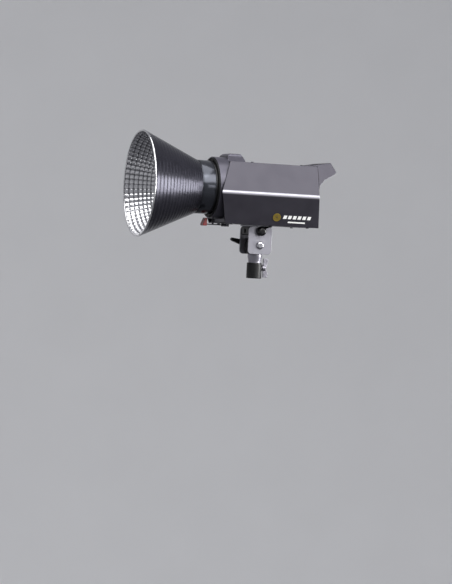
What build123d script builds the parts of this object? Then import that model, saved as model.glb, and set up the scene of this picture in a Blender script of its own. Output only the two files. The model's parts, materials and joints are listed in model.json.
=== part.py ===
from build123d import *
from math import cos, radians, sin, sqrt
import os

# Studio LED light head with a bayonet cone reflector. Millimetres.
# The origin is the centre of the stand socket's mouth, +Z is up, and the lamp shines towards -X.
# "left" is the lamp's own left, the -Y side.

# Stand socket and tilt joint
socket_radius = 8.15
socket_depth = 36.0
socket_wall = 3.35
receiver_height = 45.0
receiver_head_radius = 13.5
sleeve_wall = 2.6
sleeve_top = 29.0
screw_height = 20.0
wing_span = 35.0
pivot_height = 62.0
washer_thickness = 3.4
pivot_radius = 4.0
ear_half_gap = 21.0
bracket_thickness = 3.0
bracket_half_length = 23.0
bracket_corner = 7.0
pivot_to_casing = 37.0
umbrella_radius = 4.3
umbrella_block_height = 16.0
knob_radius = 8.8
lever_reach = 36.0
lever_lift = 9.0

# Bayonet mount
neck_radius = 49.5
lip_gap = 1.0
lug_height = 3.7
lug_length = 4.5
lug_sweep = 30.0
lug_count = 3
ring_wall = 1.2
lip_thickness = 6.0
channel_length = 9.5
ring_base = 2.5
bezel_wall = 1.9

# Casing
body_length = 191.0
nose_to_pivot = 93.0
skin = 2.0
flank_lean = 18.0
under_ring = 8.0
brow_height = 49.0
ridge_fillet = 6.0
return_width = 2.5
seam = 0.2
top_setback = 19.0
bottom_setback = 15.0
rear_rake = 8.0
bezel_length = 57.0
frame_wall = 3.0
hump_height = 15.0
hump_half_width = 24.0

# Reflector
rim_radius = 98.0
reflector_length = 138.0
neck_length = 30.0
sheet = 1.2
bead_radius = 1.7

# Inside
fan_depth = 25.0
fan_gap = 2.3
fin_thickness = 0.8
fin_pitch = 3.0
pipe_radius = 3.0
plate_thickness = 5.0
chip_side = 28.0
glass_radius = 24.0

# Rear panel
panel_thickness = 4.0
panel_recess = 2.0
board_setback = 16.0
board_thickness = 1.6
display_width = 50.0
display_height = 24.0
button_width = 14.0
button_height = 8.0
button_travel = 1.2
dial_radius = 10.0
dial_length = 13.0
control_pitch = 24.0
inlet_width = 27.0
inlet_height = 20.0
rocker_radius = 10.5
rocker_half_width = 7.4
cheek_depth = 8.0
shaft_radius = 3.0
encoder_side = 13.0
component_height = 3.5

# Clearances
running = 0.08
fitted = 0.05
sliding = 0.1
loose = 0.3

# Worked out from the above
knuckle_half_width = ear_half_gap - washer_thickness - sliding
channel_radius = neck_radius + lug_height + 0.6
mount_radius = channel_radius + ring_wall
bezel_radius = mount_radius + sliding + bezel_wall
body_bottom = pivot_height + pivot_to_casing
axis_height = body_bottom + under_ring + bezel_radius
body_top = axis_height + brow_height
half_height = (body_top - body_bottom) / 2
ridge_height = body_bottom + half_height
flank_slope = flank_lean / half_height
flank_factor = sqrt(1 + flank_slope**2)
edge_half = (bezel_radius + 0.6 + skin) * flank_factor - brow_height * flank_slope
ridge_half = edge_half + flank_lean
nose_x = -nose_to_pivot
rear_x = nose_x + body_length
face_x = nose_x - 2.0
mount_back_x = face_x + lip_thickness + channel_length + ring_base
plate_back_x = mount_back_x + plate_thickness
bezel_back_x = nose_x + bezel_length
panel_x = rear_x - panel_recess
board_x = panel_x - board_setback
base_under = body_bottom - bracket_thickness
umbrella_height = base_under - umbrella_block_height / 2
fan_half = (edge_half - skin * flank_factor + flank_lean - fan_gap) / (1 + flank_slope)
fan_x = bezel_back_x + 36.0
fins_x = bezel_back_x + 2.0
rim_x = face_x - reflector_length
shoulder_x = face_x - neck_length
cold_x = plate_back_x + 4.0
inlet_z = body_bottom + 16.0
dial_z = inlet_z + inlet_height / 2 + dial_radius + 2.0
button_z = dial_z + dial_radius + button_height / 2 + 3.0
display_z = button_z + button_height / 2 + display_height / 2 + 5.0
deck_half = edge_half - return_width - seam
case_screw_y = deck_half - 8.3
rear_screw_y = deck_half - 4.3
lever_hinge_x = nose_x + 31.0
lever_hinge_z = body_bottom - 3.0
pin_x = face_x + lip_thickness + 3.0
screw_circle = neck_radius + 1.3
bezel_screw_x = plate_back_x + 10.0
optical_axis = Axis((0, 0, axis_height), (1, 0, 0))

os.makedirs("parts", exist_ok=True)


def section(outset):
    """Corners of the casing's six-sided section, moved outwards by a distance, in the YZ plane."""
    top = body_top + outset
    bottom = body_bottom - outset
    ridge = ridge_half + outset * flank_factor
    edge_top = ridge - (top - ridge_height) * flank_slope
    return [(edge_top, top), (ridge, ridge_height), (edge_top, bottom),
            (-edge_top, bottom), (-ridge, ridge_height), (-edge_top, top)]


def flank_plane(side, along, height):
    """Plane lying on the lower flank, facing outwards; side is -1 for left and 1 for right."""
    half = ridge_half - (ridge_height - height) * flank_slope
    return Plane(origin=(along, side * half, height), x_dir=(-side, 0, 0), z_dir=(0, side, -flank_slope))


def sector(inner, outer, middle, sweep):
    """Face of a ring's sector about the sketch's origin; angles in degrees."""
    start = middle - sweep / 2
    with BuildSketch() as face:
        with BuildLine():
            outside = CenterArc((0, 0), outer, start, sweep)
            inside = CenterArc((0, 0), inner, start, sweep)
            Line(outside @ 0, inside @ 0)
            Line(outside @ 1, inside @ 1)
        make_face()
    return face.sketch


def lug_angle(index):
    """Middle of a lug on the locked reflector, in degrees from +Y towards +Z."""
    return 90 + index * 360 / lug_count


def make_receiver():
    top_taper = receiver_height - 5
    barrel = socket_radius + socket_wall
    with BuildPart() as receiver:
        with BuildSketch(Plane.XZ):
            Polygon((0, 0), (barrel, 0), (barrel, sleeve_top + 2), (receiver_head_radius, top_taper),
                    (receiver_head_radius, receiver_height), (0, receiver_height), align=None)
        revolve(axis=Axis.Z)
        with BuildSketch(Plane.XY):
            Circle(socket_radius)
        extrude(amount=socket_depth, mode=Mode.SUBTRACT)
        with BuildSketch(Plane.YZ):
            with Locations((0, screw_height)):
                Circle(3 + running)
        extrude(amount=barrel + 5, mode=Mode.SUBTRACT)
    receiver.part.label = "spigot_receiver"
    export_step(receiver.part, "parts/spigot_receiver.step")

    with BuildPart() as sleeve:
        with BuildSketch(Plane.XY):
            Circle(barrel + fitted + sleeve_wall)
            Circle(barrel + fitted, mode=Mode.SUBTRACT)
        extrude(amount=sleeve_top)
        fillet(sleeve.edges().filter_by(GeomType.CIRCLE).group_by(SortBy.RADIUS)[-1], 1.2)
        with BuildSketch(Plane.YZ):
            with Locations((0, screw_height)):
                Circle(3 + loose)
        extrude(amount=barrel + 6, mode=Mode.SUBTRACT)
    sleeve.part.label = "socket_sleeve"
    export_step(sleeve.part, "parts/socket_sleeve.step")

    with BuildPart() as knuckle:
        with BuildSketch(Plane.XZ):
            with Locations((0, pivot_height)):
                Circle(receiver_head_radius)
            with Locations((0, (pivot_height + receiver_height) / 2)):
                Rectangle(2 * receiver_head_radius, pivot_height - receiver_height)
            with Locations((0, pivot_height)):
                Circle(pivot_radius + running, mode=Mode.SUBTRACT)
        extrude(amount=knuckle_half_width, both=True)
    knuckle.part.label = "tilt_knuckle"
    export_step(knuckle.part, "parts/tilt_knuckle.step")

    with BuildPart() as washers:
        with BuildSketch(Plane.XZ.offset(knuckle_half_width),
                         Plane.XZ.offset(-knuckle_half_width - washer_thickness)):
            with Locations((0, pivot_height)):
                Circle(receiver_head_radius)
                Circle(pivot_radius + running, mode=Mode.SUBTRACT)
        extrude(amount=washer_thickness)
    washers.part.label = "friction_washers"
    export_step(washers.part, "parts/friction_washers.step")


def make_spigot_screw():
    sleeve_outside = socket_radius + socket_wall + fitted + sleeve_wall
    hub_x = sleeve_outside + 1
    with BuildPart() as screw:
        with BuildSketch(Plane.YZ.offset(socket_radius + 0.45)):
            with Locations((0, screw_height)):
                Circle(3)
        extrude(amount=hub_x - socket_radius)
        with BuildSketch(Plane.YZ.offset(hub_x)):
            with Locations((0, screw_height)):
                Circle(5.5)
        extrude(amount=6)
        with BuildSketch(Plane.XZ):
            with Locations((hub_x + 6.5, screw_height)):
                Rectangle(9, wing_span)
            with Locations((hub_x + 11.5, screw_height)):
                Ellipse(3.5, wing_span / 4, mode=Mode.SUBTRACT)
        extrude(amount=2, both=True)
        fillet(screw.edges().filter_by(Axis.Y).group_by(Axis.X)[-1], 1.5)
    screw.part.label = "spigot_screw"
    export_step(screw.part, "parts/spigot_screw.step")


def make_bracket():
    ear_outside = ear_half_gap + bracket_thickness
    screw_spots = GridLocations(30, 26, 2, 2)
    chassis_start = bezel_back_x + 2
    chassis_end = bracket_half_length + 7
    with BuildPart() as bracket:
        with BuildSketch(Plane.XY.offset(base_under)):
            Rectangle(2 * bracket_half_length, 2 * ear_outside)
            with screw_spots:
                Circle(2 + fitted, mode=Mode.SUBTRACT)
        extrude(amount=bracket_thickness)
        with BuildSketch(Plane.XZ.offset(ear_half_gap), Plane.XZ.offset(-ear_outside)) as ears:
            with Locations((0, (receiver_height + base_under) / 2)):
                Rectangle(2 * bracket_half_length, base_under - receiver_height)
            fillet(ears.vertices().group_by(Axis.Z)[0], bracket_corner)
            with Locations((0, pivot_height)):
                Circle(pivot_radius + fitted, mode=Mode.SUBTRACT)
        extrude(amount=bracket_thickness)
        with BuildSketch(Plane.XZ.offset(ear_half_gap - 1)):
            with Locations((0, umbrella_height)):
                Circle(2.5 + loose)
        extrude(amount=bracket_thickness + 2, mode=Mode.SUBTRACT)
    bracket.part.label = "tilt_bracket"
    export_step(bracket.part, "parts/tilt_bracket.step")

    with BuildPart() as block:
        with BuildSketch(Plane.XZ):
            with Locations((0, umbrella_height)):
                Rectangle(2 * bracket_half_length - 2, umbrella_block_height - 0.2)
        extrude(amount=ear_half_gap - fitted, both=True)
        chamfer(block.edges().filter_by(Axis.Y), 1.2)
        with BuildSketch(Plane.YZ.offset(-bracket_half_length)):
            with Locations((0, umbrella_height)):
                Circle(umbrella_radius)
        extrude(amount=2 * bracket_half_length, mode=Mode.SUBTRACT)
        with BuildSketch(Plane.XZ):
            with Locations((0, umbrella_height)):
                Circle(2.5 + running)
        extrude(amount=ear_half_gap + 1, mode=Mode.SUBTRACT)
    block.part.label = "umbrella_block"
    export_step(block.part, "parts/umbrella_block.step")

    with BuildPart() as bolt:
        with BuildSketch(Plane.XZ.offset(-ear_outside - 6)):
            with Locations((0, pivot_height)):
                Circle(pivot_radius)
        extrude(amount=2 * ear_outside + 6)
        with BuildSketch(Plane.XZ.offset(ear_outside)):
            with Locations((0, pivot_height)):
                Circle(7.5)
        extrude(amount=4.5)
        fillet(bolt.edges().filter_by(GeomType.CIRCLE).sort_by(Axis.Y)[0:1], 3.8)
    bolt.part.label = "pivot_bolt"
    export_step(bolt.part, "parts/pivot_bolt.step")

    with BuildPart() as chassis:
        with BuildSketch(Plane.XY.offset(body_bottom + skin)):
            with Locations(((chassis_start + chassis_end) / 2, 0)):
                Rectangle(chassis_end - chassis_start, 2 * edge_half - 30)
            with screw_spots:
                Circle(2 + fitted, mode=Mode.SUBTRACT)
        extrude(amount=3)
    chassis.part.label = "chassis_plate"
    export_step(chassis.part, "parts/chassis_plate.step")

    seat = body_bottom + skin + 3
    with BuildPart() as screws:
        with BuildSketch(Plane.XY.offset(seat)):
            with screw_spots:
                Circle(3.5)
                RegularPolygon(1.7, 6, mode=Mode.SUBTRACT)
        extrude(amount=3)
        with BuildSketch(Plane.XY.offset(seat)):
            with screw_spots:
                Circle(2)
        extrude(amount=base_under - seat)
        with BuildSketch(Plane.XY.offset(seat)):
            with screw_spots:
                Circle(2)
        extrude(amount=1)
    screws.part.label = "bracket_screws"
    export_step(screws.part, "parts/bracket_screws.step")


def make_umbrella_knob():
    ear_outside = ear_half_gap + bracket_thickness
    with BuildPart() as knob:
        with BuildSketch(Plane.XZ.offset(ear_outside + 0.8)):
            with Locations((0, umbrella_height)):
                Circle(knob_radius)
        extrude(amount=11)
        fillet(knob.edges().filter_by(GeomType.CIRCLE).sort_by(Axis.Y)[0:1], 5)
        with BuildSketch(Plane.XZ.offset(umbrella_radius + 0.4)):
            with Locations((0, umbrella_height)):
                Circle(2.5)
        extrude(amount=ear_outside + 1 - umbrella_radius)
    knob.part.label = "umbrella_knob"
    export_step(knob.part, "parts/umbrella_knob.step")


def make_tilt_lever():
    hub_y = ear_half_gap + bracket_thickness + loose
    tip = (-lever_reach, pivot_height + lever_lift)
    with BuildPart() as lever:
        with BuildSketch(Plane.XZ.offset(-hub_y - 12)):
            with Locations((0, pivot_height)):
                Circle(9.5)
        extrude(amount=12)
        with BuildSketch(Plane.XZ.offset(-hub_y - 11)):
            with BuildLine():
                Polyline((0, pivot_height + 7), (tip[0], tip[1] + 3.2), (tip[0] - 3, tip[1]),
                         (tip[0], tip[1] - 3.2), (0, pivot_height - 7), close=True)
            make_face()
        extrude(amount=8)
        fillet(lever.edges().filter_by(Axis.Y).group_by(Axis.X)[0], 2)
        with BuildSketch(Plane.XZ.offset(-hub_y - 7)):
            with Locations((0, pivot_height)):
                Circle(pivot_radius + running)
        extrude(amount=8, mode=Mode.SUBTRACT)
    lever.part.label = "tilt_lever"
    export_step(lever.part, "parts/tilt_lever.step")


def make_bezel():
    inner = section(-skin - loose)
    hollow = section(-skin - loose - frame_wall)
    web_x = plate_back_x
    with BuildPart() as bezel:
        with BuildSketch(Plane.YZ.offset(web_x)):
            Polygon(*inner, align=None)
        extrude(amount=4)
        with BuildSketch(Plane.YZ.offset(web_x)):
            Polygon(*inner, align=None)
            Polygon(*hollow, align=None, mode=Mode.SUBTRACT)
        extrude(amount=bezel_back_x - web_x)
        with BuildSketch(Plane.XY.offset(body_top - 4)):
            with Locations(((web_x + bezel_back_x) / 2, 0)):
                Rectangle(bezel_back_x - web_x, 2 * deck_half)
        extrude(amount=4)
        with BuildSketch(Plane.XZ):
            with BuildLine():
                Polyline((web_x, body_top - 2), (web_x + 1, body_top + hump_height - 4),
                         (web_x + 6, body_top + hump_height), (bezel_back_x - 10, body_top + hump_height),
                         (bezel_back_x - 1, body_top + 3), (bezel_back_x - 1, body_top - 2), close=True)
            make_face()
        extrude(amount=hump_half_width, both=True)
        fillet(bezel.faces().sort_by(Axis.Z)[-1].edges().filter_by(Axis.X), 5)
        with BuildSketch(Plane.YZ.offset(face_x + 1)):
            with Locations((0, axis_height)):
                Circle(bezel_radius)
        extrude(amount=web_x + 1 - face_x)
        with BuildSketch(Plane.YZ.offset(face_x)):
            with Locations((0, axis_height)):
                Circle(mount_radius + sliding)
        extrude(amount=web_x - face_x, mode=Mode.SUBTRACT)
        with BuildSketch(Plane.YZ.offset(web_x - 1)):
            with Locations((0, axis_height)):
                Circle(neck_radius)
        extrude(amount=6, mode=Mode.SUBTRACT)
        with BuildSketch(Plane.XY.offset(body_bottom)):
            with Locations((pin_x, 0)):
                SlotOverall(11, 6)
        extrude(amount=under_ring + 12, mode=Mode.SUBTRACT)
        with BuildSketch(Plane.XY.offset(body_bottom)):
            with Locations((bezel_screw_x, case_screw_y), (bezel_screw_x, -case_screw_y)):
                Circle(1.5 + fitted)
        extrude(amount=10, mode=Mode.SUBTRACT)
    bezel.part.label = "front_bezel"
    export_step(bezel.part, "parts/front_bezel.step")

    with BuildPart() as seal:
        with BuildSketch(Plane.YZ.offset(face_x - 1)):
            with Locations((0, axis_height)):
                Circle(mount_radius - 0.5)
                Circle(neck_radius + lip_gap + 0.8, mode=Mode.SUBTRACT)
        extrude(amount=1)
    seal.part.label = "bezel_seal"
    export_step(seal.part, "parts/bezel_seal.step")


def make_bayonet_ring():
    """Ring with a front lip, three notches that let the reflector's lugs in, and a channel behind."""
    lip_radius = neck_radius + lip_gap
    channel_x = face_x + lip_thickness
    base_x = mount_back_x - ring_base
    base_inside = neck_radius - 4
    notches = [sector(lip_radius - 1, channel_radius, lug_angle(index) + lug_sweep, lug_sweep + 4)
               for index in range(lug_count)]
    with BuildPart() as ring:
        with BuildSketch(Plane.YZ.offset(face_x)):
            with Locations((0, axis_height)):
                Circle(mount_radius)
                Circle(lip_radius, mode=Mode.SUBTRACT)
                for notch in notches:
                    add(notch, mode=Mode.SUBTRACT)
        extrude(amount=lip_thickness)
        with BuildSketch(Plane.YZ.offset(channel_x)):
            with Locations((0, axis_height)):
                Circle(mount_radius)
                Circle(channel_radius, mode=Mode.SUBTRACT)
        extrude(amount=base_x - channel_x)
        with BuildSketch(Plane.YZ.offset(base_x)):
            with Locations((0, axis_height)):
                Circle(mount_radius)
                Circle(base_inside, mode=Mode.SUBTRACT)
                with PolarLocations(screw_circle, 4, 45):
                    Circle(1.5 + fitted, mode=Mode.SUBTRACT)
        extrude(amount=ring_base)
        with BuildSketch(Plane.XY.offset(body_bottom)):
            with Locations((pin_x, 0)):
                SlotOverall(11, 6)
        extrude(amount=under_ring + 12, mode=Mode.SUBTRACT)
    ring.part.label = "bayonet_ring"
    export_step(ring.part, "parts/bayonet_ring.step")

    with BuildPart() as screws:
        with BuildSketch(Plane.YZ.offset(mount_back_x - ring_base - 1.2)):
            with Locations((0, axis_height)):
                with PolarLocations(screw_circle, 4, 45):
                    Circle(2.2)
                    RegularPolygon(1.1, 6, mode=Mode.SUBTRACT)
        extrude(amount=1.2)
        with BuildSketch(Plane.YZ.offset(mount_back_x - ring_base)):
            with Locations((0, axis_height)):
                with PolarLocations(screw_circle, 4, 45):
                    Circle(1.5)
        extrude(amount=ring_base + plate_thickness - 1)
    screws.part.label = "bayonet_screws"
    export_step(screws.part, "parts/bayonet_screws.step")


def make_light_source():
    chip_x = cold_x - 1.2
    centre = Locations((0, axis_height))
    with BuildPart() as plate:
        with BuildSketch(Plane.YZ.offset(mount_back_x)):
            with centre:
                Circle(mount_radius - 0.4)
                Circle(glass_radius - 3, mode=Mode.SUBTRACT)
                with PolarLocations(screw_circle, 4, 45):
                    Circle(1.5 + fitted, mode=Mode.SUBTRACT)
        extrude(amount=plate_thickness)
        with BuildSketch(Plane.YZ.offset(mount_back_x)):
            with centre:
                Circle(glass_radius + loose)
        extrude(amount=2, mode=Mode.SUBTRACT)
    plate.part.label = "front_plate"
    export_step(plate.part, "parts/front_plate.step")

    with BuildPart() as glass:
        with BuildSketch(Plane.YZ.offset(mount_back_x)):
            with centre:
                Circle(glass_radius)
        extrude(amount=2)
    glass.part.label = "cover_glass"
    export_step(glass.part, "parts/cover_glass.step")

    with BuildPart() as retainer:
        with BuildSketch(Plane.YZ.offset(mount_back_x - 1.6)):
            with centre:
                Circle(glass_radius + 5)
                Circle(glass_radius - 2.5, mode=Mode.SUBTRACT)
        extrude(amount=1.6)
        chamfer(retainer.edges().filter_by(GeomType.CIRCLE).sort_by(Axis.X)[0:2], 0.6)
    retainer.part.label = "glass_retainer"
    export_step(retainer.part, "parts/glass_retainer.step")

    with BuildPart() as chip:
        with BuildSketch(Plane.YZ.offset(chip_x)):
            with centre:
                Rectangle(chip_side, chip_side)
        extrude(amount=1.2)
    chip.part.label = "led_chip"
    export_step(chip.part, "parts/led_chip.step")

    with BuildPart() as phosphor:
        with BuildSketch(Plane.YZ.offset(chip_x - 0.6)):
            with centre:
                Circle(chip_side * 0.42)
        extrude(amount=0.6)
    phosphor.part.label = "led_phosphor"
    export_step(phosphor.part, "parts/led_phosphor.step")

    with BuildPart() as holder:
        with BuildSketch(Plane.YZ.offset(cold_x - 3.6)):
            with centre:
                Circle(chip_side * 0.84)
                Circle(chip_side * 0.45, mode=Mode.SUBTRACT)
        extrude(amount=3.6)
        with BuildSketch(Plane.YZ.offset(chip_x - fitted)):
            with centre:
                Rectangle(chip_side + 2 * fitted, chip_side + 2 * fitted)
        extrude(amount=2, mode=Mode.SUBTRACT)
    holder.part.label = "chip_holder"
    export_step(holder.part, "parts/chip_holder.step")


def make_cooling():
    cold_side = 1.28 * neck_radius
    cold_depth = 10.0
    fins_depth = fan_x - 2 - fins_x
    fin_count = int(fins_depth / fin_pitch)
    pipe_grid = (cold_side / 3.2, cold_side / 1.6, 3, 2)
    with BuildPart() as cold:
        with BuildSketch(Plane.YZ.offset(cold_x)):
            with Locations((0, axis_height)):
                Rectangle(cold_side, cold_side)
        extrude(amount=cold_depth)
        with BuildSketch(Plane.YZ.offset(cold_x + 3)):
            with Locations((0, axis_height)):
                with GridLocations(*pipe_grid):
                    Circle(pipe_radius + fitted)
        extrude(amount=cold_depth, mode=Mode.SUBTRACT)
    cold.part.label = "cold_plate"
    export_step(cold.part, "parts/cold_plate.step")

    with BuildPart() as tubes:
        with BuildSketch(Plane.YZ.offset(cold_x + 3)):
            with Locations((0, axis_height)):
                with GridLocations(*pipe_grid):
                    Circle(pipe_radius)
        extrude(amount=fan_x - 1.5 - cold_x - 3)
    tubes.part.label = "heat_pipes"
    export_step(tubes.part, "parts/heat_pipes.step")

    fin_planes = [Plane.YZ.offset(fins_x + index * fin_pitch) for index in range(fin_count)]
    with BuildPart() as fins:
        with BuildSketch(*fin_planes):
            with Locations((0, ridge_height)):
                Rectangle(2 * fan_half - 4, 2 * fan_half - 4)
            with Locations((0, axis_height)):
                with GridLocations(*pipe_grid):
                    Circle(pipe_radius + fitted, mode=Mode.SUBTRACT)
        extrude(amount=fin_thickness)
    fins.part.label = "fin_stack"
    export_step(fins.part, "parts/fin_stack.step")

    centre = Locations((0, ridge_height))
    hub = 16.0
    with BuildPart() as frame:
        with BuildSketch(Plane.YZ.offset(fan_x)) as outline:
            with centre:
                Rectangle(2 * fan_half, 2 * fan_half)
            fillet(outline.vertices(), 4)
            with centre:
                Circle(fan_half - 1.5, mode=Mode.SUBTRACT)
                with GridLocations(1.78 * fan_half, 1.78 * fan_half, 2, 2):
                    Circle(2, mode=Mode.SUBTRACT)
        extrude(amount=fan_depth)
        with BuildSketch(Plane.YZ.offset(fan_x + fan_depth - 3)):
            with centre:
                Circle(hub + 1)
                with PolarLocations(fan_half / 2, 4, 45):
                    Rectangle(fan_half - 2, 4)
                Circle(1.5 + running, mode=Mode.SUBTRACT)
        extrude(amount=3)
    frame.part.label = "fan_frame"
    export_step(frame.part, "parts/fan_frame.step")

    blade_count = 7
    blade_root = hub - 2
    blade_length = fan_half - 1.5 - 1.5 - blade_root
    with BuildPart() as rotor:
        with BuildSketch(Plane.YZ.offset(fan_x + 2)):
            with centre:
                Circle(hub)
        extrude(amount=fan_depth - 7)
        with BuildSketch(Plane.YZ.offset(fan_x + fan_depth - 5)):
            with centre:
                Circle(1.5)
        extrude(amount=4.5)
        for index in range(blade_count):
            angle = radians(index * 360 / blade_count)
            outwards = Vector(0, cos(angle), sin(angle))
            root = Vector(fan_x + 11, 0, ridge_height) + outwards * blade_root
            with BuildSketch(Plane(origin=root, x_dir=(1, 0, 0), z_dir=outwards)):
                Polygon((-8, -8), (-6.5, -8), (8, 8), (6.5, 8), align=None)
            extrude(amount=blade_length)
    rotor.part.label = "fan_rotor"
    export_step(rotor.part, "parts/fan_rotor.step")


def make_side_cover(side, label):
    """Folded side of the casing: two flanks that meet at a ridge, with narrow returns top and bottom."""
    edge = edge_half - return_width
    with BuildPart() as cover:
        with BuildSketch(Plane.YZ.offset(nose_x)) as outline:
            Polygon(*section(0), align=None)
            fillet(outline.vertices().sort_by(Axis.X)[0:1], ridge_fillet)
            fillet(outline.vertices().sort_by(Axis.X)[-1:], ridge_fillet)
            Polygon(*section(-skin), align=None, mode=Mode.SUBTRACT)
            with Locations((side * (edge + 100), ridge_height)):
                Rectangle(200, 400, mode=Mode.INTERSECT)
        extrude(amount=body_length + rear_rake)
        with BuildSketch(Plane.XZ):
            with BuildLine():
                Polyline((nose_x, ridge_height), (nose_x + top_setback, body_top), (rear_x, body_top),
                         (rear_x, ridge_height), (rear_x + rear_rake, body_bottom),
                         (nose_x + bottom_setback, body_bottom), close=True)
            make_face()
        extrude(amount=2 * ridge_half, both=True, mode=Mode.INTERSECT)
    cover.part.label = label
    export_step(cover.part, f"parts/{label}.step")


def make_lids():
    top_x = bezel_back_x + seam
    bottom_x = nose_x + bottom_setback + 1
    case_spots_top = [(along, side * case_screw_y) for along in (top_x + 8, rear_x - 28) for side in (1, -1)]
    case_spots_bottom = [(bezel_screw_x, side * case_screw_y) for side in (1, -1)]
    case_spots_bottom += [(rear_x - 12, side * rear_screw_y) for side in (1, -1)]
    slot_gap = 6.5
    with BuildPart() as top:
        with BuildSketch(Plane.XY.offset(body_top - skin)):
            with Locations(((top_x + rear_x) / 2, 0)):
                Rectangle(rear_x - top_x, 2 * deck_half)
            with Locations((top_x + 47, 0)):
                with GridLocations(slot_gap, 34, 9, 2):
                    SlotOverall(28, 3, rotation=90, mode=Mode.SUBTRACT)
            with Locations(*case_spots_top):
                Circle(1.5 + fitted, mode=Mode.SUBTRACT)
            with Locations((rear_x - 9, 0)):
                with GridLocations(1, 2 * case_screw_y / 3, 1, 4):
                    Circle(1.5 + fitted, mode=Mode.SUBTRACT)
        extrude(amount=skin)
    top.part.label = "top_cover"
    export_step(top.part, "parts/top_cover.step")

    with BuildPart() as bottom:
        with BuildSketch(Plane.XY.offset(body_bottom)):
            with Locations(((bottom_x + rear_x) / 2, 0)):
                Rectangle(rear_x - bottom_x, 2 * deck_half)
            with Locations((rear_x - 42, 0)):
                with GridLocations(slot_gap, 34, 7, 2):
                    SlotOverall(28, 3, rotation=90, mode=Mode.SUBTRACT)
            with Locations(*case_spots_bottom):
                Circle(1.5 + fitted, mode=Mode.SUBTRACT)
            with GridLocations(30, 26, 2, 2):
                Circle(2 + fitted, mode=Mode.SUBTRACT)
        extrude(amount=skin)
        with BuildSketch(Plane.XZ.offset(8), Plane.XZ.offset(-11)):
            with Locations((lever_hinge_x, lever_hinge_z + 0.5)):
                Rectangle(8, 6)
            with Locations((lever_hinge_x, lever_hinge_z)):
                Circle(1.5 + fitted, mode=Mode.SUBTRACT)
        extrude(amount=3)
    bottom.part.label = "bottom_cover"
    export_step(bottom.part, "parts/bottom_cover.step")

    with BuildPart() as screws:
        for seats, plane in ((case_spots_top, Plane.XY.offset(body_top)),
                             ([(x, -y) for x, y in case_spots_bottom],
                              Plane(origin=(0, 0, body_bottom), x_dir=(1, 0, 0), z_dir=(0, 0, -1)))):
            with BuildSketch(plane):
                with Locations(*seats):
                    Circle(2.8)
                    RegularPolygon(1.3, 6, mode=Mode.SUBTRACT)
            extrude(amount=1.6)
            with BuildSketch(plane):
                with Locations(*seats):
                    Circle(1.5)
            extrude(amount=-7)
    screws.part.label = "case_screws"
    export_step(screws.part, "parts/case_screws.step")


def make_marks():
    badge_x = 20.0
    badge_height = body_bottom + 16
    with BuildPart() as badges:
        with BuildSketch(flank_plane(-1, badge_x, badge_height), flank_plane(1, badge_x, badge_height)):
            Circle(7.6)
        extrude(amount=0.6)
    badges.part.label = "side_badges"
    export_step(badges.part, "parts/side_badges.step")

    with BuildPart() as marks:
        for side in (-1, 1):
            middle = badge_x + 40
            with BuildSketch(flank_plane(side, middle, badge_height + 1)):
                for index in range(6):
                    with Locations(((index - 2.5) * 9.5, 0)):
                        Polygon((-4, -3.2), (2.4, -3.2), (4, 3.2), (-2.4, 3.2), align=None)
            extrude(amount=0.3)
            with BuildSketch(flank_plane(side, middle, badge_height - 8)):
                Rectangle(34, 2.6)
            extrude(amount=0.3)
    marks.part.label = "side_marks"
    export_step(marks.part, "parts/side_marks.step")


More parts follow.
